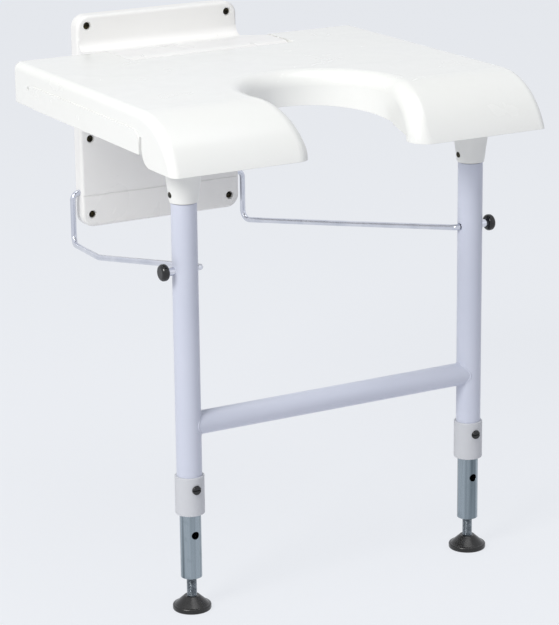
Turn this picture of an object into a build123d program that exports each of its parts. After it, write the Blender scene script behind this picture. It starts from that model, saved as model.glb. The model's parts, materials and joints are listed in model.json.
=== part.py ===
from build123d import *
import math
import os

# Wall-mounted folding shower seat with two adjustable legs and a wire stay.
# X runs to the right, the wall is the plane Y = 0 and the seat stands out towards -Y, Z is up.
# Sizes are millimetres. A height is above the floor, a depth is out from the wall.

# Fits between pieces, on the radius
press_gap = 0.02
running_gap = 0.05
seat_gap = 0.05

# How far a cutting shape runs past the face it cuts, and how near two places count as one
cut_over = 1.0
same_place = 0.01

# Seat moulding
seat_height = 502.0
seat_rear_depth = 79.5
seat_front_width = 414.0
seat_side_taper = 6.0
seat_skin = 4.0
seat_rear_corner = 10.0
seat_front_corner = 10.0
seat_edge_round = 8.0
front_corner_reach = 2.0
lip_start_reach = 295.5
lip_radius = 75.0
lip_drop = 51.0
lip_side_ahead = 6.0
lip_side_round = 16.0
skirt_drop = 41.0
skirt_reach = 12.0
cutout_radius = 72.0
cutout_back = 17.0
cutout_mouth_width = 109.0
cutout_mouth_ahead = 65.0
cutout_corner = 20.0
cutout_round = 15.0
cutout_rim_rear_drop = 33.0
cutout_rim_front_drop = 46.0
band_proud = 1.0
band_start_gap = 14.0
band_top_drop = 18.0
band_round = 14.0
band_slit = 4.0
band_slit_drop = 24.0
side_hole = 4.5
notch_gap = 1.0
rear_relief_inner_room = 10.0
rear_relief_outer_room = 24.0
rear_relief_skin = 4.5
seat_rib = 3.0
seat_rib_drop = 28.0
seat_rib_inner_gap = 15.8
seat_rib_outer_gap = 10.5
seat_rib_socket_gap = 1.0
seat_cross_rib_gap = 85.0
seat_cross_rib_pitch = 50.0

# Seat hinge
hinge_reach = 40.5
hinge_drop = 22.0
hinge_rod = 10.0
hinge_rod_chamfer = 1.0
hinge_rod_play = 0.5
hinge_boss = 24.0
hinge_boss_length = 28.0
hinge_bush_outer = 14.0
hinge_bush_length = 14.0
hinge_bush_flange = 21.0
hinge_side_gap = 0.3
side_gap = 1.2
barrel_drop = 0.6

# Wall plate
plate_width = 192.0
plate_height = 230.0
plate_rise = 26.0
plate_depth = 15.0
plate_wall = 4.0
plate_corner = 14.0
plate_edge_round = 3.5
plate_rib = 3.0
plate_groove = 1.4
plate_groove_depth = 0.6
plate_groove_rise = 34.0
bolt_side_margin = 12.0
bolt_top_margin = 11.0
bolt_bottom_margin = 14.0
bolt_middle_rise = 83.0
bolt_hole = 5.5
bolt_head_recess = 9.0
bolt_head_recess_depth = 2.5
bolt_boss = 16.0

# Ledge of the wall plate, which carries the seat hinge
ledge_inset = 1.0
ledge_skin = 5.0
ledge_cove = 10.0
ledge_low_drop = 10.5
ledge_rise_back = 32.0
ledge_rib = 4.0
ledge_rib_count = 2

# Legs
leg_inset = 45.5
leg_ahead = 3.0
leg_tube = 25.0
leg_wall = 1.5
leg_pivot_drop = 83.0
leg_pin = 6.0
leg_pin_proud = 0.4
leg_pin_round = 0.5
tongue_width = 12.0
tongue_thickness = 16.0
tongue_side_gap = 0.3
insert_length = 30.0
crossbar_height = 190.0
crossbar_tube = 23.0

# Leg sockets under the seat
socket_below_pivot = 8.0
socket_leg_gap = 0.8
socket_swing_gap = 0.4
socket_overhang = 1.2
socket_flare = 40.0
socket_flare_out = 5.3
socket_room = 1.2

# Height collars and inner legs
collar_wall = 2.0
collar_bottom_height = 100.0
collar_length = 39.0
collar_lip = 4.0
collar_round = 1.0
screw_drop = 12.0
screw_shank = 5.0
screw_head = 9.0
screw_head_thickness = 3.0
screw_head_round = 1.0
screw_slot = 1.4
screw_slot_depth = 1.5
screw_head_sink = 1.2
screw_tip_gap = 0.3
inner_leg_play = 0.5
inner_leg_wall = 1.5
inner_leg_length = 180.0
index_hole = 8.0
index_pitch = 24.0
index_below_count = 2
index_count = 5

# Levelling feet
foot_pad = 38.0
foot_rim_height = 5.5
foot_shoulder = 34.0
foot_neck = 15.0
foot_pad_height = 14.0
foot_round = 1.5
foot_gap = 20.0
foot_stem = 10.0
foot_stem_chamfer = 0.8
foot_stem_reach = 26.0
foot_stem_sink = 8.0
foot_insert_length = 16.0

# Wire stay
stay_wire = 6.0
stay_rise = 38.5
stay_side_gap = 8.0
stay_drop = 56.5
stay_knee_inset = 23.5
stay_knee_reach = 20.0
stay_knee_drop = 37.0
stay_end_gap = 0.6
stay_hook_run = 4.4
stay_hook_straight = 0.5
stay_top_round = 8.0
stay_bottom_round = 10.0
stay_knee_round = 70.0
stay_pin = 8.0
stay_cap = 16.5
stay_cap_thickness = 8.0
stay_cap_inner_gap = 6.5
stay_cap_grip = 4.0
stay_cap_round = 3.4

# Heights above the floor that follow the seat
plate_top = seat_height + plate_rise
plate_bottom = plate_top - plate_height
bolt_row_top = plate_top - bolt_top_margin
bolt_row_bottom = plate_bottom + bolt_bottom_margin
bolt_row_middle = bolt_row_bottom + bolt_middle_rise
origin_height = (bolt_row_bottom + bolt_row_top) / 2
hinge_height = seat_height - hinge_drop
barrel_radius = hinge_drop - barrel_drop
ledge_low_height = seat_height - ledge_low_drop
lip_bottom_height = seat_height - lip_drop
skirt_bottom_height = seat_height - skirt_drop
cutout_rim_rear_height = seat_height - cutout_rim_rear_drop
cutout_rim_front_height = seat_height - cutout_rim_front_drop
band_top_height = seat_height - band_top_drop
band_slit_height = seat_height - band_slit_drop
seat_rib_bottom_height = seat_height - seat_rib_drop
leg_pivot_height = seat_height - leg_pivot_drop
socket_bottom_height = leg_pivot_height - socket_below_pivot
leg_top_drop = socket_below_pivot + socket_leg_gap
leg_top_height = leg_pivot_height - leg_top_drop
stay_height = plate_bottom + stay_rise
stay_drop_height = stay_height - stay_drop
stay_knee_height = stay_height - stay_knee_drop

# Heights above the floor that follow the feet
inner_leg_bottom_height = foot_pad_height + foot_gap
inner_leg_top_height = inner_leg_bottom_height + inner_leg_length
foot_stem_top_height = inner_leg_bottom_height + foot_stem_reach
foot_stem_seat_height = foot_pad_height - foot_stem_sink
collar_top_height = collar_bottom_height + collar_length
leg_bottom_height = collar_bottom_height + collar_lip
screw_height = collar_top_height - screw_drop
index_first_height = screw_height - index_below_count * index_pitch

# Depths out from the wall
hinge_depth = seat_rear_depth + hinge_reach
notch_depth = hinge_depth + barrel_radius + notch_gap
ledge_rise_depth = hinge_depth - ledge_rise_back
band_start_depth = hinge_depth + band_start_gap
lip_start_depth = seat_rear_depth + lip_start_reach
lip_side_depth = lip_start_depth + lip_side_ahead
cutout_depth = lip_start_depth - cutout_back
cutout_mouth_depth = lip_start_depth + cutout_mouth_ahead
leg_depth = lip_start_depth + leg_ahead
stay_depth = plate_depth - plate_wall - stay_wire / 2
stay_knee_depth = hinge_depth + stay_knee_reach

# Widths and places across
seat_rear_width = seat_front_width - 2 * seat_side_taper
skirt_inner = seat_rear_width / 2 - skirt_reach
ledge_width = plate_width - 2 * ledge_inset
ledge_half = ledge_width / 2
cheek_inner = ledge_half + side_gap
bolt_columns = plate_width - 2 * bolt_side_margin
leg_spacing = seat_front_width - 2 * leg_inset
leg_half = leg_spacing / 2
hinge_rod_room = hinge_rod + 2 * hinge_rod_play
inner_leg_tube = leg_tube - 2 * leg_wall - 2 * inner_leg_play
collar_outer = leg_tube + 2 * collar_wall
socket_bottom_width = leg_tube + 2 * socket_overhang
socket_top_width = socket_bottom_width + 2 * socket_flare_out
stay_side = plate_width / 2 + stay_side_gap
stay_knee_side = leg_half - stay_knee_inset
stay_end_side = leg_half - leg_tube / 2 - stay_end_gap - stay_hook_run
stay_hook_round = stay_hook_run - stay_hook_straight
rear_relief_inner = stay_knee_side - rear_relief_inner_room
rear_relief_outer = stay_knee_side + rear_relief_outer_room
seat_rib_places = (cheek_inner + seat_rib_inner_gap, leg_half + seat_rib_outer_gap)
first_cross_rib_depth = hinge_depth + seat_cross_rib_gap
seat_cross_rib_depths = (first_cross_rib_depth, first_cross_rib_depth + seat_cross_rib_pitch)

# Behind the pivot, a socket stays inside the circle that the end of the leg sweeps.
socket_rear_room = leg_top_drop - socket_swing_gap

# The legs hang upright both with the seat down and with it folded up,
# when the stay's outer pivot lies this far below the leg pivot.
link_back = hinge_depth - stay_depth
link_front = leg_depth - hinge_depth
link_drop = hinge_height - leg_pivot_height
link_rise = link_back * (link_front - link_drop) / (link_front + link_drop)
stay_pin_height = leg_pivot_height - (hinge_height - stay_height - link_rise)


def up(height):
    return height - origin_height


def at(x, depth, height):
    return (x, -depth, up(height))


def rod_x(x_low, x_high, depth, height, diameter):
    middle = (x_low + x_high) / 2
    rod = Cylinder(diameter / 2, x_high - x_low, rotation=(0, 90, 0))
    return Pos(*at(middle, depth, height)) * rod


def rod_y(x, depth_low, depth_high, height, diameter):
    middle = (depth_low + depth_high) / 2
    rod = Cylinder(diameter / 2, depth_high - depth_low, rotation=(90, 0, 0))
    return Pos(*at(x, middle, height)) * rod


def rod_z(x, depth, low, high, diameter):
    rod = Cylinder(diameter / 2, high - low)
    return Pos(*at(x, depth, (low + high) / 2)) * rod


def block(x_low, x_high, depth_low, depth_high, low, high):
    box = Box(x_high - x_low, depth_high - depth_low, high - low)
    return Pos(*at((x_low + x_high) / 2, (depth_low + depth_high) / 2, (low + high) / 2)) * box


def side_profile(corners, x_low, x_high):
    points = [at(x_low, depth, height) for depth, height in corners]
    face = make_face(Polyline(*points, close=True))
    return extrude(face, amount=x_high - x_low, dir=(1, 0, 0))


def bolt_places():
    rows = (bolt_row_bottom, bolt_row_middle, bolt_row_top)
    return [(side * bolt_columns / 2, row) for row in rows for side in (-1, 1)]


def plate_body():
    middle = (plate_bottom + plate_top) / 2
    plane = Plane(origin=at(0, 0, middle), x_dir=(1, 0, 0), z_dir=(0, -1, 0))
    height = plate_top - plate_bottom
    outside = extrude(plane * RectangleRounded(plate_width, height, plate_corner), amount=plate_depth)
    outside = fillet(outside.faces().sort_by(Axis.Y)[0].edges(), plate_edge_round)
    pocket_shape = RectangleRounded(
        plate_width - 2 * plate_wall, height - 2 * plate_wall, plate_corner - plate_wall
    )
    pocket = extrude(plane * pocket_shape, amount=plate_depth - plate_wall)
    rib_half = plate_rib / 2
    half = plate_width / 2 - plate_wall / 2
    ribs = Part()
    for row in (bolt_row_bottom, bolt_row_middle, bolt_row_top):
        ribs += block(-half, half, 0, plate_depth - plate_wall / 2, row - rib_half, row + rib_half)
    for x, row in bolt_places():
        ribs += rod_y(x, 0, plate_depth - plate_wall / 2, row, bolt_boss)
    return outside - pocket + (ribs & outside)


def ledge_body():
    cove_end = plate_depth + ledge_cove
    flat_height = hinge_height + barrel_radius
    x_start = -ledge_half
    top_of_cove = ledge_low_height + ledge_cove
    cove_middle = ledge_cove * (1 - math.sqrt(0.5))
    root_depth = plate_depth - plate_wall / 2
    low_height = hinge_height - barrel_radius
    outline = [
        Line(at(x_start, root_depth, low_height), at(x_start, root_depth, top_of_cove)),
        Line(at(x_start, root_depth, top_of_cove), at(x_start, plate_depth, top_of_cove)),
        ThreePointArc(
            at(x_start, plate_depth, top_of_cove),
            at(x_start, plate_depth + cove_middle, ledge_low_height + cove_middle),
            at(x_start, cove_end, ledge_low_height),
        ),
        Line(at(x_start, cove_end, ledge_low_height), at(x_start, ledge_rise_depth, flat_height)),
        Line(at(x_start, ledge_rise_depth, flat_height), at(x_start, hinge_depth, flat_height)),
        ThreePointArc(
            at(x_start, hinge_depth, flat_height),
            at(x_start, hinge_depth + barrel_radius, hinge_height),
            at(x_start, hinge_depth, low_height),
        ),
        Line(at(x_start, hinge_depth, low_height), at(x_start, root_depth, low_height)),
    ]
    ledge = extrude(make_face(Wire(outline)), amount=ledge_width, dir=(1, 0, 0))
    bay_back = plate_depth + ledge_skin
    bay_front = hinge_depth - hinge_bush_outer
    bay_corners = [
        (bay_back, low_height - cut_over),
        (bay_front, low_height - cut_over),
        (bay_front, flat_height - ledge_skin),
        (ledge_rise_depth, flat_height - ledge_skin),
        (cove_end, ledge_low_height - ledge_skin),
        (bay_back, ledge_low_height - ledge_skin),
    ]
    bay_count = ledge_rib_count + 1
    bay_room = ledge_width - 2 * ledge_skin - ledge_rib_count * ledge_rib
    bay_width = bay_room / bay_count
    for number in range(bay_count):
        bay_start = -ledge_half + ledge_skin + number * (bay_width + ledge_rib)
        ledge -= side_profile(bay_corners, bay_start, bay_start + bay_width)
    return ledge


def make_wall_plate():
    plate = plate_body() + ledge_body()
    face = plate_depth + cut_over
    for x, row in bolt_places():
        plate -= rod_y(x, -cut_over, face, row, bolt_hole)
        plate -= rod_y(x, plate_depth - bolt_head_recess_depth, face, row, bolt_head_recess)
    groove_low = plate_bottom + plate_groove_rise
    groove_floor = plate_depth - plate_groove_depth
    plate -= block(-plate_width, plate_width, groove_floor, face, groove_low, groove_low + plate_groove)
    wire_hole = stay_wire + 2 * running_gap
    plate -= rod_x(-plate_width, plate_width, stay_depth, stay_height, wire_hole)
    plate -= rod_x(-plate_width, plate_width, hinge_depth, hinge_height, hinge_rod_room)
    for side in (-1, 1):
        ends = sorted((side * (ledge_half - hinge_bush_length), side * plate_width))
        plate -= rod_x(*ends, hinge_depth, hinge_height, hinge_bush_outer)
    return plate


def make_hinge_bush(side):
    sleeve_outer = hinge_bush_outer - 2 * press_gap
    sleeve = sorted((side * (ledge_half - hinge_bush_length), side * ledge_half))
    flange = sorted((side * ledge_half, side * (cheek_inner - hinge_side_gap)))
    bush = rod_x(*sleeve, hinge_depth, hinge_height, sleeve_outer)
    bush += rod_x(*flange, hinge_depth, hinge_height, hinge_bush_flange)
    return bush - rod_x(-plate_width, plate_width, hinge_depth, hinge_height, hinge_rod + 2 * running_gap)


def make_hinge_rod():
    half = cheek_inner + hinge_boss_length
    rod = rod_x(-half, half, hinge_depth, hinge_height, hinge_rod)
    return chamfer(rod.edges().filter_by(GeomType.CIRCLE), hinge_rod_chamfer)


def cutout_plan(inset):
    radius = cutout_radius + inset
    mouth_x = cutout_mouth_width / 2 + inset
    ahead = cutout_mouth_depth - cutout_depth
    reach = math.hypot(mouth_x, ahead)
    touch = math.atan2(ahead, mouth_x) - math.acos(radius / reach)
    touch_x = radius * math.cos(touch)
    touch_depth = cutout_depth + radius * math.sin(touch)
    end_depth = lip_start_depth + 2 * lip_radius
    slope = (mouth_x - touch_x) / (cutout_mouth_depth - touch_depth)
    end_x = mouth_x + slope * (end_depth - cutout_mouth_depth)
    throat = Polygon(
        (touch_x, -touch_depth),
        (end_x, -end_depth),
        (-end_x, -end_depth),
        (-touch_x, -touch_depth),
        align=None,
    )
    return Pos(0, -cutout_depth) * Circle(radius) + throat


def arc_depth(height, inset):
    drop = seat_height - lip_radius
    return lip_start_depth + math.sqrt((lip_radius - inset) ** 2 - (height - drop) ** 2)


def seat_plan(inset):
    rear_half = seat_rear_width / 2 - inset
    front_half = seat_front_width / 2 - inset
    rear = seat_rear_depth + inset
    front = arc_depth(lip_bottom_height, 0) + front_corner_reach - inset
    outline = Polygon(
        (-rear_half, -rear),
        (rear_half, -rear),
        (front_half, -front),
        (-front_half, -front),
        align=None,
    )
    outline = fillet(outline.vertices().sort_by(Axis.Y)[2:], seat_rear_corner - inset)
    outline = fillet(outline.vertices().sort_by(Axis.Y)[:2], seat_front_corner - inset)
    plan = outline - cutout_plan(inset)
    mouth = [v for v in plan.vertices() if abs(v.Y + front) < same_place and abs(v.X) < cutout_radius]
    plan = fillet(mouth, cutout_corner - inset)
    notch_end = notch_depth + inset
    return plan - Pos(0, -notch_end / 2) * Rectangle(2 * (cheek_inner + inset), notch_end)


def seat_side(inset, low):
    radius = lip_radius - inset
    top = seat_height - inset
    middle = radius * math.sqrt(0.5)
    centre_height = seat_height - lip_radius
    front = lip_start_depth + radius
    x_start = -seat_front_width
    outline = [
        Line(at(x_start, 0, low), at(x_start, 0, top)),
        Line(at(x_start, 0, top), at(x_start, lip_start_depth, top)),
        ThreePointArc(
            at(x_start, lip_start_depth, top),
            at(x_start, lip_start_depth + middle, centre_height + middle),
            at(x_start, front, centre_height),
        ),
        Line(at(x_start, front, centre_height), at(x_start, front, low)),
        Line(at(x_start, front, low), at(x_start, 0, low)),
    ]
    return extrude(make_face(Wire(outline)), amount=2 * seat_front_width, dir=(1, 0, 0))


def runs_across_lip(edge):
    along = edge.tangent_at(0.5)
    across = edge.geom_type == GeomType.LINE and abs(along.X) > abs(along.Y)
    return across and -edge.center().Y > lip_start_depth - cut_over


def rim_edges(form):
    tops = [face for face in form.faces() if face.normal_at().Z > same_place]
    edges = [edge for face in tops for edge in face.edges()]
    return [edge for edge in edges if not runs_across_lip(edge)]


def near_cutout(edge):
    middle = edge.center()
    reach = cutout_radius + cutout_corner
    return abs(middle.X) < reach and -middle.Y > cutout_depth - reach


def seat_form(inset, low):
    plan = Pos(0, 0, up(low)) * seat_plan(inset)
    form = extrude(plan, amount=seat_height - low, dir=(0, 0, 1)) & seat_side(inset, low - lip_radius)
    rim = rim_edges(form)
    notch_half = cheek_inner + inset + cut_over
    outer = [edge for edge in rim if not near_cutout(edge) and abs(edge.center().X) > notch_half]
    form = fillet(outer, seat_edge_round - inset)
    inner = [edge for edge in rim_edges(form) if near_cutout(edge)]
    return fillet(inner, cutout_round - inset)


def side_band():
    rear = band_start_depth
    front = lip_side_depth - band_slit
    round_top = band_top_height - band_round
    middle = band_round * (1 - math.sqrt(0.5))
    x_start = -seat_front_width
    outline = [
        Line(at(x_start, rear, skirt_bottom_height), at(x_start, rear, band_top_height)),
        Line(at(x_start, rear, band_top_height), at(x_start, front - band_round, band_top_height)),
        ThreePointArc(
            at(x_start, front - band_round, band_top_height),
            at(x_start, front - middle, band_top_height - middle),
            at(x_start, front, round_top),
        ),
        Line(at(x_start, front, round_top), at(x_start, front, skirt_bottom_height)),
        Line(at(x_start, front, skirt_bottom_height), at(x_start, rear, skirt_bottom_height)),
    ]
    reach = extrude(make_face(Wire(outline)), amount=2 * seat_front_width, dir=(1, 0, 0))
    low = skirt_bottom_height - cut_over
    high = band_top_height + cut_over
    reach -= block(-skirt_inner, skirt_inner, 0, lip_side_depth, low, high)
    plan = Pos(0, 0, up(skirt_bottom_height)) * seat_plan(-band_proud)
    height = band_top_height - skirt_bottom_height
    return extrude(plan, amount=height, dir=(0, 0, 1)) & reach


def seat_ribs():
    ribs = Part()
    half = seat_rib / 2
    front = leg_depth - socket_top_width / 2 - seat_rib_socket_gap
    top = seat_height - seat_skin / 2
    for place in seat_rib_places:
        for side in (-1, 1):
            x = side * place
            ribs += block(x - half, x + half, notch_depth, front, seat_rib_bottom_height, top)
    for depth in seat_cross_rib_depths:
        for side in (-1, 1):
            ends = sorted(side * place for place in seat_rib_places)
            ribs += block(*ends, depth - half, depth + half, seat_rib_bottom_height, top)
    return ribs


def make_seat_shell():
    low = lip_bottom_height
    below = low - 2 * cut_over
    inside = seat_form(seat_skin, low - cut_over)
    cutout_reach = cutout_radius + cutout_corner
    rim_rear = cutout_depth - cutout_radius - cutout_round
    rim_front = arc_depth(cutout_rim_front_height, seat_skin) - cutout_corner
    rim_slope = [
        (rim_rear, below),
        (rim_rear, cutout_rim_rear_height),
        (rim_front, cutout_rim_front_height),
        (rim_front, below),
    ]
    form = seat_form(0, low)
    form -= block(-seat_front_width, seat_front_width, 0, lip_side_depth, below, skirt_bottom_height)
    form += side_band() - inside
    shell = form - inside
    shell += seat_ribs() & seat_form(seat_skin / 2, low)
    shell -= side_profile(rim_slope, -cutout_reach, cutout_reach)
    slit_depths = (lip_side_depth - band_slit, lip_side_depth)
    round_depth = lip_side_depth + lip_side_round
    round_height = low + lip_side_round
    for side in (-1, 1):
        skirt = sorted((side * seat_front_width, side * skirt_inner))
        shell -= block(*skirt, *slit_depths, below, band_slit_height)
        corner = block(*skirt, lip_side_depth, round_depth, below, round_height)
        shell -= corner - rod_x(*skirt, round_depth, round_height, 2 * lip_side_round)
        relief = sorted((side * rear_relief_inner, side * rear_relief_outer))
        shell -= block(*relief, 0, seat_rear_depth + 2 * seat_skin, below, seat_height - rear_relief_skin)
        boss = sorted((side * cheek_inner, side * (cheek_inner + hinge_boss_length)))
        shell += rod_x(*boss, hinge_depth, hinge_height, hinge_boss)
        access = sorted((side * seat_rear_width / 4, side * seat_front_width))
        shell -= rod_x(*access, hinge_depth, hinge_height, side_hole)
    half = cheek_inner + hinge_boss_length + cut_over
    return shell - rod_x(-half, half, hinge_depth, hinge_height, hinge_rod + 2 * press_gap)


def make_leg_socket(side):
    x = side * leg_half
    wide = socket_top_width
    flare_top = socket_bottom_height + socket_flare
    cone = Cone(socket_bottom_width / 2, socket_top_width / 2, socket_flare)
    post = Pos(*at(x, leg_depth, socket_bottom_height + socket_flare / 2)) * cone
    post += rod_z(x, leg_depth, flare_top, seat_height, socket_top_width)
    depths = (leg_depth - wide, leg_depth + wide)
    socket = post - block(x - wide, x + wide, *depths, lip_bottom_height, seat_height + cut_over)
    socket += post & seat_form(seat_skin + seat_gap, lip_bottom_height)
    slot = tongue_width / 2 + tongue_side_gap
    tongue_top = leg_pivot_height + tongue_thickness / 2 + socket_room
    slot_front = leg_depth + tongue_thickness / 2 + socket_room
    low = socket_bottom_height - cut_over
    socket -= block(x - slot, x + slot, leg_depth - wide, slot_front, low, tongue_top)
    leg_room = leg_pivot_height + leg_tube / 2 + socket_room
    socket -= block(x - wide, x + wide, leg_depth - wide, leg_depth - socket_rear_room, low, leg_room)
    corner = block(x - wide, x + wide, leg_depth - wide, leg_depth, low, leg_pivot_height)
    socket -= corner - rod_x(x - wide, x + wide, leg_depth, leg_pivot_height, 2 * socket_rear_room)
    return socket - rod_x(x - wide, x + wide, leg_depth, leg_pivot_height, leg_pin + 2 * press_gap)


def make_leg_pin(side):
    x = side * leg_half
    rise = socket_below_pivot / socket_flare
    width = socket_bottom_width + rise * (socket_top_width - socket_bottom_width)
    half = width / 2 + leg_pin_proud
    pin = rod_x(x - half, x + half, leg_depth, leg_pivot_height, leg_pin)
    return fillet(pin.edges().filter_by(GeomType.CIRCLE), leg_pin_round)


def make_leg_insert(side):
    x = side * leg_half
    plug_outer = leg_tube - 2 * leg_wall - 2 * press_gap
    half = tongue_width / 2
    thick = tongue_thickness / 2
    insert = rod_z(x, leg_depth, leg_top_height - insert_length, leg_top_height, plug_outer)
    depths = (leg_depth - thick, leg_depth + thick)
    insert += block(x - half, x + half, *depths, leg_top_height, leg_pivot_height)
    insert += rod_x(x - half, x + half, leg_depth, leg_pivot_height, tongue_thickness)
    reach = half + cut_over
    return insert - rod_x(x - reach, x + reach, leg_depth, leg_pivot_height, leg_pin + 2 * running_gap)


def make_leg_tube(side):
    x = side * leg_half
    tube = rod_z(x, leg_depth, leg_bottom_height, leg_top_height, leg_tube)
    low = leg_bottom_height - cut_over
    high = leg_top_height + cut_over
    tube -= rod_z(x, leg_depth, low, high, leg_tube - 2 * leg_wall)
    tube -= rod_x(x - leg_tube, x + leg_tube, leg_depth, stay_pin_height, stay_pin + 2 * press_gap)
    return tube - rod_y(x, leg_depth, leg_depth + leg_tube, screw_height, screw_shank + 2 * press_gap)


def make_crossbar():
    bar = rod_x(-leg_half, leg_half, leg_depth, crossbar_height, crossbar_tube)
    bar -= rod_x(-leg_half, leg_half, leg_depth, crossbar_height, crossbar_tube - 2 * leg_wall)
    for side in (-1, 1):
        low = crossbar_height - crossbar_tube
        high = crossbar_height + crossbar_tube
        bar -= rod_z(side * leg_half, leg_depth, low, high, leg_tube + 2 * seat_gap)
    return bar


def make_collar(side):
    x = side * leg_half
    collar = rod_z(x, leg_depth, collar_bottom_height, collar_top_height, collar_outer)
    collar = fillet(collar.edges().filter_by(GeomType.CIRCLE), collar_round)
    high = collar_top_height + cut_over
    low = collar_bottom_height - cut_over
    collar -= rod_z(x, leg_depth, leg_bottom_height, high, leg_tube + 2 * press_gap)
    collar -= rod_z(x, leg_depth, low, leg_bottom_height, inner_leg_tube + 2 * running_gap)
    front = leg_depth + collar_outer
    collar -= rod_y(x, leg_depth, front, screw_height, screw_shank + 2 * press_gap)
    head_seat = leg_depth + collar_outer / 2 - screw_head_sink
    return collar - rod_y(x, head_seat, front, screw_height, screw_head + 2 * seat_gap)


def make_collar_screw(side):
    x = side * leg_half
    tip = leg_depth + inner_leg_tube / 2 + screw_tip_gap
    head_seat = leg_depth + collar_outer / 2 - screw_head_sink
    head_front = head_seat + screw_head_thickness
    head = rod_y(x, head_seat, head_front, screw_height, screw_head)
    head = fillet(head.edges().filter_by(GeomType.CIRCLE).sort_by(Axis.Y)[0], screw_head_round)
    slot_bottom = head_front - screw_slot_depth
    slot = screw_slot / 2
    wide = screw_head
    slot_end = head_front + cut_over
    head -= block(x - wide, x + wide, slot_bottom, slot_end, screw_height - slot, screw_height + slot)
    return head + rod_y(x, tip, head_seat, screw_height, screw_shank)


def make_inner_leg(side):
    x = side * leg_half
    low = inner_leg_bottom_height
    high = inner_leg_top_height
    bore = inner_leg_tube - 2 * inner_leg_wall
    tube = rod_z(x, leg_depth, low, high, inner_leg_tube)
    tube -= rod_z(x, leg_depth, low - cut_over, high + cut_over, bore)
    for number in range(index_count):
        height = index_first_height + number * index_pitch
        tube -= rod_y(x, leg_depth, leg_depth + inner_leg_tube, height, index_hole)
    return tube


def make_foot_insert(side):
    x = side * leg_half
    low = inner_leg_bottom_height
    outer = inner_leg_tube - 2 * inner_leg_wall - 2 * press_gap
    high = low + foot_insert_length
    plug = rod_z(x, leg_depth, low, high, outer)
    return plug - rod_z(x, leg_depth, low - cut_over, high + cut_over, foot_stem + 2 * running_gap)


def make_foot_stem(side):
    x = side * leg_half
    stem = rod_z(x, leg_depth, foot_stem_seat_height, foot_stem_top_height, foot_stem)
    return chamfer(stem.edges().filter_by(GeomType.CIRCLE), foot_stem_chamfer)


def make_foot_pad(side):
    x = side * leg_half
    rim = rod_z(x, leg_depth, 0, foot_rim_height, foot_pad)
    rim = fillet(rim.edges().filter_by(GeomType.CIRCLE), foot_round)
    rise = foot_pad_height - foot_rim_height
    cone = Cone(foot_shoulder / 2, foot_neck / 2, rise)
    pad = rim + Pos(*at(x, leg_depth, foot_rim_height + rise / 2)) * cone
    high = foot_pad_height + cut_over
    return pad - rod_z(x, leg_depth, foot_stem_seat_height, high, foot_stem + 2 * press_gap)


def make_stay_wire():
    hook_end = leg_half - leg_tube / 2 - stay_end_gap
    half_route = [
        at(hook_end, leg_depth, stay_pin_height),
        at(stay_end_side, leg_depth, stay_pin_height),
        at(stay_knee_side, stay_knee_depth, stay_knee_height),
        at(stay_side, stay_depth, stay_drop_height),
        at(stay_side, stay_depth, stay_height),
    ]
    half_rounds = [stay_hook_round, stay_knee_round, stay_bottom_round, stay_top_round]
    route = half_route + [(-x, y, z) for x, y, z in reversed(half_route)]
    path = FilletPolyline(*route, radius=half_rounds + half_rounds[::-1])
    section = Plane(origin=path @ 0, z_dir=path % 0) * Circle(stay_wire / 2)
    wire = sweep(section, path=path)
    print("stay wire volume over section times length", wire.volume / (section.area * path.length))
    return wire


def stay_cap_start():
    return leg_half + leg_tube / 2 + stay_cap_inner_gap


def make_stay_pin(side):
    inner = leg_half - leg_tube / 2 + seat_gap
    ends = sorted((side * inner, side * (stay_cap_start() + stay_cap_grip)))
    return rod_x(*ends, leg_depth, stay_pin_height, stay_pin)


def make_stay_cap(side):
    start = stay_cap_start()
    ends = sorted((side * start, side * (start + stay_cap_thickness)))
    cap = rod_x(*ends, leg_depth, stay_pin_height, stay_cap)
    cap = fillet(cap.edges().filter_by(GeomType.CIRCLE), stay_cap_round)
    hole = sorted((side * (start - cut_over), side * (start + stay_cap_grip)))
    return cap - rod_x(*hole, leg_depth, stay_pin_height, stay_pin + 2 * press_gap)


single_pieces = {
    "wall_plate": make_wall_plate,
    "hinge_rod": make_hinge_rod,
    "seat_shell": make_seat_shell,
    "leg_crossbar": make_crossbar,
    "stay_wire": make_stay_wire,
}

paired_pieces = {
    "hinge_bush": make_hinge_bush,
    "leg_socket": make_leg_socket,
    "leg_pivot_pin": make_leg_pin,
    "leg_insert": make_leg_insert,
    "leg_tube": make_leg_tube,
    "leg_collar": make_collar,
    "collar_screw": make_collar_screw,
    "inner_leg": make_inner_leg,
    "foot_insert": make_foot_insert,
    "foot_stem": make_foot_stem,
    "foot_pad": make_foot_pad,
    "stay_pin": make_stay_pin,
    "stay_cap": make_stay_cap,
}

os.makedirs("parts", exist_ok=True)
for name, make in single_pieces.items():
    export_step(make(), f"parts/{name}.step")
for name, make in paired_pieces.items():
    export_step(make(-1), f"parts/left_{name}.step")
    export_step(make(1), f"parts/right_{name}.step")
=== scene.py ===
import json
import math

import bmesh
import bpy
from mathutils import Matrix, Vector


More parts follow.
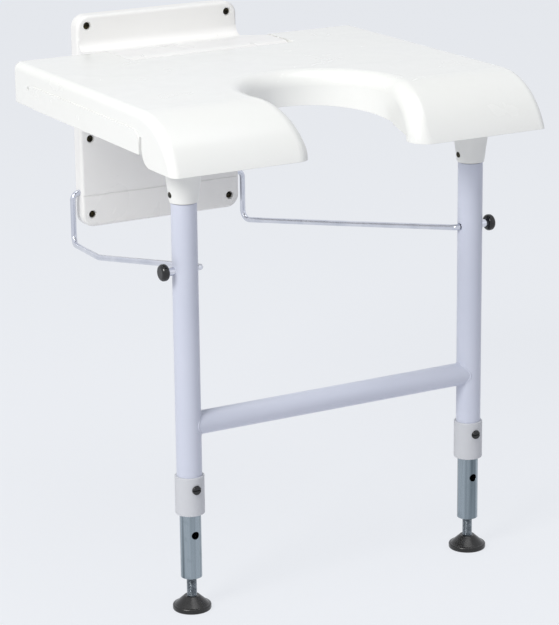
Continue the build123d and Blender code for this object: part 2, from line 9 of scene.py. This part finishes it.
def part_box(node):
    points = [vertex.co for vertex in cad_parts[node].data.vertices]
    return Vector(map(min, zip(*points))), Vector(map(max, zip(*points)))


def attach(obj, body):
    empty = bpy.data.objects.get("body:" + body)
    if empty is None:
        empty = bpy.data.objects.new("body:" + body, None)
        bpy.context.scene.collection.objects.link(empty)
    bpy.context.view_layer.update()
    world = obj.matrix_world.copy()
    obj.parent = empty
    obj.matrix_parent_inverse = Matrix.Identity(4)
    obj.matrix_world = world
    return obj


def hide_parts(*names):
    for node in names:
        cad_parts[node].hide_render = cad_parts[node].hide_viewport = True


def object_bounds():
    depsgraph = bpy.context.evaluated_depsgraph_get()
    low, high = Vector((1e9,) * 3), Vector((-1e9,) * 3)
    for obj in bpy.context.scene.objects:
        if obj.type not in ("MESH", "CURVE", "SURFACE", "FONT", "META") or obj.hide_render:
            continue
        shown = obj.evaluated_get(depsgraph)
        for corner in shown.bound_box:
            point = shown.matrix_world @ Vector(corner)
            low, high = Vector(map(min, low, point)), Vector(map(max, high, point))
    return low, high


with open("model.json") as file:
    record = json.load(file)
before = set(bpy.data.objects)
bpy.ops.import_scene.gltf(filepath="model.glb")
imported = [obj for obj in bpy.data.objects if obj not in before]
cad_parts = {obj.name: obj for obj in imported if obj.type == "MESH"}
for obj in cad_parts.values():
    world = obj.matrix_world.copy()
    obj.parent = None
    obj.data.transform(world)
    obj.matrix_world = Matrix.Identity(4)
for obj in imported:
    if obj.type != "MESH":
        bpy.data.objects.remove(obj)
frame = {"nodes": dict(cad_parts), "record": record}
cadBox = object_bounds()
nodes = frame["nodes"]
sides = {"left": -1, "right": 1}
bevelSamples = 4
noiseSpan = {"middle": (0.3, 0.7), "reflectionAndMottleNoise": (0.4, 0.62), "spots": (0.55, 0.8)}  # shares of a noise in use
edgeTurn = {"flat": 0.99, "sharp": 0.8}  # cosines between which an edge counts as rubbed
print("frame loaded,", len(nodes), "nodes")


def mm(length):
    return length / 1000


def perMm(size):  # texture scale that makes one feature this many mm wide
    return 1000 / size


def hexColour(text):  # sRGB hex to the linear colour that the shader wants
    parts = [int(text[place : place + 2], 16) / 255 for place in (1, 3, 5)]
    linear = [part / 12.92 if part <= 0.04045 else ((part + 0.055) / 1.055) ** 2.4 for part in parts]
    return (*linear, 1.0)


def addNode(tree, kind, values=None, links=None, **settings):
    node = tree.nodes.new(kind)
    for name, value in settings.items():
        setattr(node, name, value)
    for socket, value in (values or {}).items():
        node.inputs[socket].default_value = value
    for socket, source in (links or {}).items():
        tree.links.new(source, node.inputs[socket])
    return node


def newFinish(name):
    finish = bpy.data.materials.new(name)
    finish.use_nodes = True
    finish.node_tree.nodes.clear()
    return finish, finish.node_tree


def seenRays(tree):  # 1 for rays that the eye follows, mirrored or through glass too, 0 for light
    ray = addNode(tree, "ShaderNodeLightPath")
    direct = addNode(
        tree,
        "ShaderNodeMath",
        links={0: ray.outputs["Is Camera Ray"], 1: ray.outputs["Is Glossy Ray"]},
        operation="MAXIMUM",
    )
    through = addNode(
        tree,
        "ShaderNodeMath",
        links={0: direct.outputs["Value"], 1: ray.outputs["Is Transmission Ray"]},
        operation="MAXIMUM",
    )
    return through.outputs["Value"]


def wearMask(tree, reach):  # 1 on edges that hands and cloths rub, 0 on open faces
    edge = addNode(tree, "ShaderNodeBevel", {"Radius": mm(reach)}, samples=bevelSamples)
    face = addNode(tree, "ShaderNodeNewGeometry")
    turn = addNode(
        tree,
        "ShaderNodeVectorMath",
        links={0: edge.outputs["Normal"], 1: face.outputs["Normal"]},
        operation="DOT_PRODUCT",
    )
    mask = addNode(
        tree,
        "ShaderNodeMapRange",
        {"From Min": edgeTurn["flat"], "From Max": edgeTurn["sharp"]},
        {"Value": turn.outputs["Value"]},
    )
    return mask.outputs["Result"]


def mouldedFinish(look):  # injection-moulded plastic, from a spark-eroded tool
    finish, tree = newFinish(look["name"])
    where = addNode(tree, "ShaderNodeTexCoord").outputs["Object"]
    cloud = addNode(
        tree,
        "ShaderNodeTexNoise",
        {"Scale": perMm(look["cloudSize"]), "Detail": 3.0},
        {"Vector": where},
    )
    grain = addNode(
        tree,
        "ShaderNodeTexNoise",
        {"Scale": perMm(look["grainSize"]), "Detail": 2.0},
        {"Vector": where},
    )
    smear = addNode(
        tree,
        "ShaderNodeTexNoise",
        {"Scale": perMm(look["smearSize"]), "Detail": 4.0, "Distortion": 0.6},
        {"Vector": where},
    )
    tone = addNode(
        tree,
        "ShaderNodeMix",
        {6: hexColour(look["colour"]), 7: hexColour(look["aged"])},
        {0: cloud.outputs["Fac"]},
        data_type="RGBA",
    )
    worn = addNode(
        tree,
        "ShaderNodeMath",
        {1: look["wear"]},
        {0: wearMask(tree, look["wearReach"])},
        operation="MULTIPLY",
    )
    colour = addNode(
        tree,
        "ShaderNodeMix",
        {7: hexColour(look["rubbed"])},
        {0: worn.outputs["Value"], 6: tone.outputs[2]},
        data_type="RGBA",
    )
    rough = addNode(
        tree,
        "ShaderNodeMapRange",
        {
            "From Min": noiseSpan["middle"][0],
            "From Max": noiseSpan["middle"][1],
            "To Min": look["gloss"][0],
            "To Max": look["gloss"][1],
        },
        {"Value": smear.outputs["Fac"]},
    )
    edge = addNode(tree, "ShaderNodeBevel", {"Radius": mm(look["edgeRound"])}, samples=bevelSamples)
    relief = addNode(
        tree,
        "ShaderNodeBump",
        {"Strength": look["grainStrength"], "Distance": mm(look["grainHeight"])},
        {"Height": grain.outputs["Fac"], "Normal": edge.outputs["Normal"]},
    )
    shader = addNode(
        tree,
        "ShaderNodeBsdfPrincipled",
        {"IOR": look["ior"]},
        {
            "Base Color": colour.outputs[2],
            "Roughness": rough.outputs["Result"],
            "Normal": relief.outputs["Normal"],
        },
    )
    addNode(tree, "ShaderNodeOutputMaterial", links={"Surface": shader.outputs["BSDF"]})
    return finish


def metalFinish(look):  # drawn or plated metal, with lines along its length where it has them
    finish, tree = newFinish(look["name"])
    where = addNode(tree, "ShaderNodeTexCoord").outputs["Object"]
    stretched = addNode(
        tree,
        "ShaderNodeMapping",
        {"Scale": tuple(perMm(size) for size in look["lineSize"])},
        {"Vector": where},
    )
    lines = addNode(
        tree,
        "ShaderNodeTexNoise",
        {"Scale": 1.0, "Detail": 3.0},
        {"Vector": stretched.outputs["Vector"]},
    )
    # Streaks stretched along the length: on the inner leg tube they are painted reflections of dark
    # surroundings; on the other metals, sized evenly, they are a random mottle of tone
    reflectionAndMottleStretch = addNode(
        tree,
        "ShaderNodeMapping",
        {"Scale": tuple(perMm(size) for size in look["reflectionAndMottleSize"])},
        {"Vector": where},
    )
    reflectionAndMottleNoise = addNode(
        tree,
        "ShaderNodeTexNoise",
        {"Scale": 1.0, "Detail": 1.0},
        {"Vector": reflectionAndMottleStretch.outputs["Vector"]},
    )
    reflectionAndMottle = addNode(
        tree,
        "ShaderNodeMapRange",
        {"From Min": noiseSpan["reflectionAndMottleNoise"][0], "From Max": noiseSpan["reflectionAndMottleNoise"][1]},
        {"Value": reflectionAndMottleNoise.outputs["Fac"]},
    )
    stain = addNode(
        tree,
        "ShaderNodeTexNoise",
        {"Scale": perMm(look["stainSize"]), "Detail": 4.0},
        {"Vector": where},
    )
    spread = addNode(
        tree,
        "ShaderNodeMapRange",
        {"From Min": noiseSpan["spots"][0], "From Max": noiseSpan["spots"][1]},
        {"Value": stain.outputs["Fac"]},
    )
    reflectionAndMottleMix = addNode(
        tree,
        "ShaderNodeMix",
        {6: hexColour(look["colour"]), 7: hexColour(look["reflectionAndMottle"])},
        {0: reflectionAndMottle.outputs["Result"]},
        data_type="RGBA",
    )
    tone = addNode(
        tree,
        "ShaderNodeMix",
        {7: hexColour(look["stained"])},
        {0: spread.outputs["Result"], 6: reflectionAndMottleMix.outputs[2]},
        data_type="RGBA",
    )
    rough = addNode(
        tree,
        "ShaderNodeMapRange",
        {
            "From Min": noiseSpan["middle"][0],
            "From Max": noiseSpan["middle"][1],
            "To Min": look["gloss"][0],
            "To Max": look["gloss"][1],
        },
        {"Value": lines.outputs["Fac"]},
    )
    edge = addNode(tree, "ShaderNodeBevel", {"Radius": mm(look["edgeRound"])}, samples=bevelSamples)
    relief = addNode(
        tree,
        "ShaderNodeBump",
        {"Strength": look["lineStrength"], "Distance": mm(look["lineHeight"])},
        {"Height": lines.outputs["Fac"], "Normal": edge.outputs["Normal"]},
    )
    shader = addNode(
        tree,
        "ShaderNodeBsdfPrincipled",
        {"Metallic": 1.0},
        {
            "Base Color": tone.outputs[2],
            "Roughness": rough.outputs["Result"],
            "Normal": relief.outputs["Normal"],
        },
    )
    addNode(tree, "ShaderNodeOutputMaterial", links={"Surface": shader.outputs["BSDF"]})
    return finish


# Moulded ABS: hard and glossy, white with a trace of yellowing, soft reflections that waver slowly
seatAbs = {
    "name": "seat_moulded_ABS",
    "colour": "#F5F6F5",
    "aged": "#F1F2EE",
    "rubbed": "#F8F8F7",
    "cloudSize": 140,
    "grainSize": 12,  # the slow waviness of a thick moulding, finer grain is too small to see
    "grainStrength": 0.02,
    "grainHeight": 0.1,
    "smearSize": 45,
    "gloss": (0.2, 0.28),
    "wear": 0.25,
    "wearReach": 1.2,
    "edgeRound": 0.4,
    "ior": 1.53,
}
plateAbs = {
    **seatAbs,
    "name": "plate_moulded_ABS",
    "colour": "#F8F8F7",
    "aged": "#F3F2F0",
    "gloss": (0.26, 0.36),
}
socketAbs = {
    **seatAbs,
    "name": "socket_moulded_ABS",
    "colour": "#F2F3F2",
    "aged": "#EBECE9",
    "gloss": (0.24, 0.36),
}
# Polypropylene: waxy grey-white with a blue cast, duller than ABS
collarPolypropylene = {
    **seatAbs,
    "name": "collar_moulded_polypropylene",
    "colour": "#CFD1D7",
    "aged": "#C6C8CC",
    "rubbed": "#F2F3F3",
    "gloss": (0.38, 0.5),
    "grainSize": 3,
    "ior": 1.49,
}
# Polyester powder coat on steel tube: pale white with a lavender cast painted into its colour as a
# reflection of blue surroundings, satin, with an orange-peel skin
legPowderCoat = {
    **seatAbs,
    "name": "leg_powder_coat",
    # the lavender cast in these tones is a painted reflection of blue surroundings
    "colour": "#D2D6E5",
    "aged": "#CACFDF",
    "rubbed": "#E6E7F0",
    "cloudSize": 60,
    "grainSize": 2.4,
    "grainStrength": 0.12,
    "grainHeight": 0.06,
    "gloss": (0.28, 0.38),
    "edgeRound": 0.5,
    "ior": 1.5,
}
# Natural nylon: translucent cream, slightly greasy shine
bushNylon = {
    **seatAbs,
    "name": "bush_natural_nylon",
    "colour": "#E6E2D4",
    "aged": "#DCD6C4",
    "rubbed": "#EFECE2",
    "gloss": (0.34, 0.46),
    "ior": 1.53,
}
# Black ABS: deep black with a clear highlight, greyer where it is rubbed
capBlackAbs = {
    **seatAbs,
    "name": "cap_black_ABS",
    "colour": "#0C0C0E",
    "aged": "#131315",
    "rubbed": "#2A2A2C",
    "cloudSize": 9,
    "grainSize": 3,  # coarser than the real skin, which is too fine to show
    "smearSize": 6,
    "gloss": (0.12, 0.24),
    "wear": 0.5,
    "wearReach": 0.8,
    "edgeRound": 0.3,
}
# Moulded rubber with a polished top: black, glossy, with dust along the rim
footRubber = {
    **capBlackAbs,
    "name": "foot_moulded_rubber",
    "colour": "#0E0D0D",
    "aged": "#191817",
    "rubbed": "#35322F",
    "cloudSize": 14,
    "gloss": (0.16, 0.34),
    "ior": 1.52,
}
# Drawn stainless tube: bright and dark bands along its length that are painted reflections of dark
# surroundings, fine die lines, dull water spots
tubeStainless = {
    "name": "inner_leg_drawn_stainless",
    "colour": "#9CA7AF",
    # darker tone of the streaks: a painted reflection of dark surroundings
    "reflectionAndMottle": "#5C686F",
    "reflectionAndMottleSize": (7, 7, 500),
    "stained": "#7E8A90",
    "stainSize": 16,
    "lineSize": (0.6, 0.6, 90),  # real die lines are finer, these are as fine as can show
    "lineStrength": 0.06,
    "lineHeight": 0.02,
    "gloss": (0.2, 0.32),
    "edgeRound": 0.3,
}
# Bright zinc plate on turned steel: cool grey, even shine
boltZinc = {
    **tubeStainless,
    "name": "stem_zinc_plate",
    "colour": "#8F969C",
    "reflectionAndMottle": "#7A8187",
    "reflectionAndMottleSize": (4, 4, 4),
    "stained": "#5E6468",
    "stainSize": 5,
    "lineSize": (3, 3, 3),
    "gloss": (0.18, 0.34),
    "edgeRound": 0.15,
}
# Nickel plate on bent wire: near white, smooth and mirror-like along the bends
wireNickel = {
    **tubeStainless,
    "name": "stay_nickel_plate",
    "colour": "#D9DBE3",
    "reflectionAndMottle": "#CFD2DC",
    "reflectionAndMottleSize": (30, 30, 30),
    "stained": "#BFC3CE",
    "stainSize": 40,
    "lineSize": (12, 12, 12),
    "lineStrength": 0.01,
    "gloss": (0.14, 0.22),
    "edgeRound": 0.2,
}
# Blackened steel: near black, olive brown where the oil has dried
pinBlackened = {
    **tubeStainless,
    "name": "pin_blackened_steel",
    "colour": "#24231F",
    "reflectionAndMottle": "#353126",
    "reflectionAndMottleSize": (4, 4, 4),
    "stained": "#5A5132",
    "stainSize": 2.5,
    "lineSize": (1, 1, 1),
    "gloss": (0.26, 0.42),
    "edgeRound": 0.2,
}

finishes = {
    "seat_plastic": mouldedFinish(seatAbs),
    "plate_plastic": mouldedFinish(plateAbs),
    "socket_plastic": mouldedFinish(socketAbs),
    "collar_plastic": mouldedFinish(collarPolypropylene),
    "leg_coat": mouldedFinish(legPowderCoat),
    "nylon": mouldedFinish(bushNylon),
    "black_plastic": mouldedFinish(capBlackAbs),
    "foot_rubber": mouldedFinish(footRubber),
    "inner_leg_metal": metalFinish(tubeStainless),
    "bare_steel": metalFinish(boltZinc),
    "stay_plating": metalFinish(wireNickel),
    "dark_steel": metalFinish(pinBlackened),
}
for row in frame["record"]["subparts"]:
    mesh = nodes[row["node"]].data
    mesh.materials.clear()
    mesh.materials.append(finishes[row["material_slot"]])
print("finishes made,", len(finishes))


def placePiece(name, shape, slot, body):
    mesh = bpy.data.meshes.new(name)
    shape.to_mesh(mesh)
    shape.free()
    mesh.materials.append(finishes[slot])
    for face in mesh.polygons:
        face.use_smooth = True
    piece = bpy.data.objects.new(name, mesh)
    bpy.context.scene.collection.objects.link(piece)
    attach(piece, body)
    return piece


def ringRows(rows, closed):  # joins rows of points with quads, each row a ring
    shape = bmesh.new()
    rings = [[shape.verts.new(point) for point in row] for row in rows]
    pairs = list(zip(rings, rings[1:]))
    if closed:
        pairs.append((rings[-1], rings[0]))
    for ring, following in pairs:
        count = len(ring)
        for step in range(count):
            after = (step + 1) % count
            shape.faces.new((ring[step], ring[after], following[after], following[step]))
    if not closed:
        shape.faces.new(list(reversed(rings[0])))
        shape.faces.new(rings[-1])
    bmesh.ops.recalc_face_normals(shape, faces=shape.faces[:])
    return shape


# Screws that hold the plate to the wall: raised heads with a cross recess
wallScrew = {
    "columns": 84,
    "heights": (-102.5, -19.5, 102.5),
    "tipDepth": 0.1,
    "headSeat": 12.45,
    "headRadius": 3.6,
    "rim": 0.7,
    "dome": 1.3,
    "shankRadius": 2.4,
    "crossLength": 2.0,
    "crossWidth": 0.45,
    "crossDepth": 1.3,
    "crossEdge": 0.25,
    "crossEnd": 0.5,
    "turnStep": 37,
    "rings": 26,
    "segments": 72,
}
screwNumber = 0
for height in wallScrew["heights"]:
    for side in sides.values():
        screwNumber += 1
        centreX = side * wallScrew["columns"]
        turned = math.radians(wallScrew["turnStep"] * screwNumber)
        rows = []
        profile = [(wallScrew["shankRadius"], wallScrew["tipDepth"])]
        profile.append((wallScrew["shankRadius"], wallScrew["headSeat"]))
        profile.append((wallScrew["headRadius"], wallScrew["headSeat"]))
        rimDepth = wallScrew["headSeat"] + wallScrew["rim"]
        for step in range(wallScrew["rings"]):
            share = 1 - step / wallScrew["rings"]
            radius = wallScrew["headRadius"] * share
            profile.append((radius, rimDepth + wallScrew["dome"] * (1 - share**2)))
        for radius, depth in profile:
            row = []
            for step in range(wallScrew["segments"]):
                angle = 2 * math.pi * step / wallScrew["segments"]
                along = radius * math.cos(angle - turned)
                across = radius * math.sin(angle - turned)
                inset = 0
                if depth >= rimDepth:
                    nearArm = min(abs(along), abs(across))
                    farArm = max(abs(along), abs(across))
                    armRoom = wallScrew["crossWidth"] + wallScrew["crossEdge"] - nearArm
                    slotShare = min(1, max(0, armRoom / wallScrew["crossEdge"]))
                    endRoom = wallScrew["crossLength"] - farArm
                    endShare = min(1, max(0, endRoom / wallScrew["crossEnd"]))
                    inset = wallScrew["crossDepth"] * slotShare * endShare
                x = centreX + radius * math.cos(angle)
                z = height + radius * math.sin(angle)
                row.append((mm(x), -mm(depth - inset), mm(z)))
            rows.append(row)
        placePiece(f"wall_screw_{screwNumber}", ringRows(rows, False), "dark_steel", "wall_bracket")
print("wall screws placed,", screwNumber)


# Threaded levelling stems, in place of the plain rods of the frame
stem = {
    "pitch": 1.5,
    "threadDepth": 0.85,
    "flank": 1.6,
    "crest": 0.3,
    "steps": 10,
    "segments": 40,
    "lead": 1.2,
}
for side in sides:
    low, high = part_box(f"{side}_foot_stem")
    middle = (low + high) / 2
    outer = (high.x - low.x) / 2
    stepLength = mm(stem["pitch"]) / stem["steps"]
    stepCount = int((high.z - low.z) / stepLength)
    rows = []
    for step in range(stepCount + 1):
        z = low.z + (high.z - low.z) * step / stepCount
        toEnd = min(z - low.z, high.z - z)
        lead = max(0, mm(stem["lead"]) - toEnd)
        row = []
        for part in range(stem["segments"]):
            turn = part / stem["segments"]
            phase = ((z - low.z) / mm(stem["pitch"]) - turn) % 1
            valley = min(1, max(0, stem["flank"] * abs(2 * phase - 1) - stem["crest"]))
            radius = outer - max(mm(stem["threadDepth"]) * valley, lead)
            angle = 2 * math.pi * turn
            row.append((middle.x + radius * math.cos(angle), middle.y + radius * math.sin(angle), z))
        rows.append(row)
    thread = placePiece(f"{side}_stem_thread", ringRows(rows, False), "bare_steel", f"{side}_foot")
    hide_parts(f"{side}_foot_stem")
print("stems threaded")


# Weld beads where the crossbar meets the legs, smoothed by the coat over them
weld = {"bead": 0.8, "ripple": 0.05, "ripples": 34, "points": 144, "segments": 12}
barLow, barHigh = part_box("leg_crossbar")
barRadius = (barHigh.z - barLow.z) / 2
barMiddle = (barLow + barHigh) / 2
for side, sign in sides.items():
    tubeLow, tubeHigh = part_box(f"{side}_leg_tube")
    legX = (tubeLow.x + tubeHigh.x) / 2
    legRadius = (tubeHigh.y - tubeLow.y) / 2
    path = []
    for step in range(weld["points"]):
        angle = 2 * math.pi * step / weld["points"]
        offset = math.sqrt(legRadius**2 - (barRadius * math.cos(angle)) ** 2)
        path.append(
            Vector(
                (
                    legX - sign * offset,
                    barMiddle.y + barRadius * math.cos(angle),
                    barMiddle.z + barRadius * math.sin(angle),
                )
            )
        )
    rows = []
    for step, point in enumerate(path):
        ahead = path[(step + 1) % len(path)] - path[step - 1]
        outward = Vector((0, point.y - barMiddle.y, point.z - barMiddle.z))
        sideways = ahead.cross(outward).normalized()
        outward = sideways.cross(ahead).normalized()
        wave = 1 + weld["ripple"] * math.sin(2 * math.pi * weld["ripples"] * step / weld["points"])
        radius = mm(weld["bead"]) * wave
        row = []
        for part in range(weld["segments"]):
            angle = 2 * math.pi * part / weld["segments"]
            row.append(point + radius * (math.cos(angle) * outward + math.sin(angle) * sideways))
        rows.append(row)
    placePiece(f"{side}_weld_bead", ringRows(rows, True), "leg_coat", "leg_frame")
print("weld beads laid")


# Plain floor in a pale blue
floorLook = {
    "size": 14,
    "colour": "#F4F4F7",
    "aged": "#EFEFF4",
    "patch": 180,
    "rough": 0.7,
    "seen": "#EDF0F5",
    "share": 0.85,  # how much of what is seen is the plain tone, the rest holds the shadow
}
floorFinish, tree = newFinish("floor_pale_vinyl")
where = addNode(tree, "ShaderNodeTexCoord").outputs["Object"]
patches = addNode(tree, "ShaderNodeTexNoise", {"Scale": perMm(floorLook["patch"])}, {"Vector": where})
tone = addNode(
    tree,
    "ShaderNodeMix",
    {6: hexColour(floorLook["colour"]), 7: hexColour(floorLook["aged"])},
    {0: patches.outputs["Fac"]},
    data_type="RGBA",
)
shader = addNode(
    tree,
    "ShaderNodeBsdfPrincipled",
    {"Roughness": floorLook["rough"]},
    {"Base Color": tone.outputs[2]},
)
paper = addNode(tree, "ShaderNodeEmission", {"Color": hexColour(floorLook["seen"])})
share = addNode(
    tree,
    "ShaderNodeMath",
    {1: floorLook["share"]},
    {0: seenRays(tree)},
    operation="MULTIPLY",
)
pale = addNode(
    tree,
    "ShaderNodeMixShader",
    links={0: share.outputs["Value"], 1: shader.outputs["BSDF"], 2: paper.outputs["Emission"]},
)
addNode(tree, "ShaderNodeOutputMaterial", links={"Surface": pale.outputs["Shader"]})
floorShape = bmesh.new()
bmesh.ops.create_grid(floorShape, x_segments=2, y_segments=2, size=floorLook["size"])
floorMesh = bpy.data.meshes.new("floor")
floorShape.to_mesh(floorMesh)
floorShape.free()
floorMesh.materials.append(floorFinish)
floor = bpy.data.objects.new("floor", floorMesh)
floor.location.z = cadBox[0].z
bpy.context.scene.collection.objects.link(floor)

# Pale surround, the same to the eye and in reflections, gentler as a light
surround = {"colour": "#EFF1F6", "seen": 1.0, "light": 0.38}
world = bpy.data.worlds.new("pale_surround")
world.use_nodes = True
bpy.context.scene.world = world
tree = world.node_tree
tree.nodes.clear()
strength = addNode(
    tree,
    "ShaderNodeMapRange",
    {"To Min": surround["light"], "To Max": surround["seen"]},
    {"Value": seenRays(tree)},
)
glow = addNode(
    tree,
    "ShaderNodeBackground",
    {"Color": hexColour(surround["colour"])},
    {"Strength": strength.outputs["Result"]},
)
addNode(tree, "ShaderNodeOutputWorld", links={"Surface": glow.outputs["Background"]})

# Soft boxes: the main one from the left, as the bright left faces and the shaded right ones show
lamps = {
    "key_softbox": {"at": (-2.4, -1.25, 1.7), "size": 1.1, "watts": 58, "colour": "#FFFEFA"},
    "fill_softbox": {"at": (1.7, -2.2, 0.9), "size": 1.8, "watts": 2, "colour": "#EEF1FF"},
    "top_softbox": {"at": (0.1, -0.6, 2.3), "size": 1.6, "watts": 18, "colour": "#FFFFFF"},
}
aim = (cadBox[0] + cadBox[1]) / 2
for name, lamp in lamps.items():
    light = bpy.data.lights.new(name, "AREA")
    light.size = lamp["size"]
    light.energy = lamp["watts"]
    light.color = hexColour(lamp["colour"])[:3]
    holder = bpy.data.objects.new(name, light)
    holder.location = lamp["at"]
    holder.rotation_euler = (aim - holder.location).to_track_quat("-Z", "Y").to_euler()
    bpy.context.scene.collection.objects.link(holder)
print("stage set")

# Camera at the photograph's viewing angle, worked out from the seat, the legs and the plate
camera = {
    "at": (-1.2898, -2.5574, 0.5899),
    "heading": -29.45,
    "pitch": 16.0,
    "roll": -0.64,
    "lens": 154.3,
    "sensor": 36,
}
heading = math.radians(camera["heading"])
pitch = math.radians(camera["pitch"])
roll = math.radians(camera["roll"])
level = Vector((math.cos(heading), math.sin(heading), 0))
ahead = Vector((-math.sin(heading), math.cos(heading), 0))
forward = math.cos(pitch) * ahead - math.sin(pitch) * Vector((0, 0, 1))
upward = level.cross(forward)
right = math.cos(roll) * level + math.sin(roll) * upward
top = math.cos(roll) * upward - math.sin(roll) * level
cameraData = bpy.data.cameras.new("photo_camera")
cameraData.lens = camera["lens"]
cameraData.sensor_width = camera["sensor"]
cameraObject = bpy.data.objects.new("photo_camera", cameraData)
turn = Matrix((right, top, -forward)).transposed().to_4x4()
cameraObject.matrix_world = Matrix.Translation(camera["at"]) @ turn
bpy.context.scene.collection.objects.link(cameraObject)
bpy.context.scene.camera = cameraObject
bpy.context.scene.view_settings.view_transform = "Standard"

bpy.context.view_layer.update()
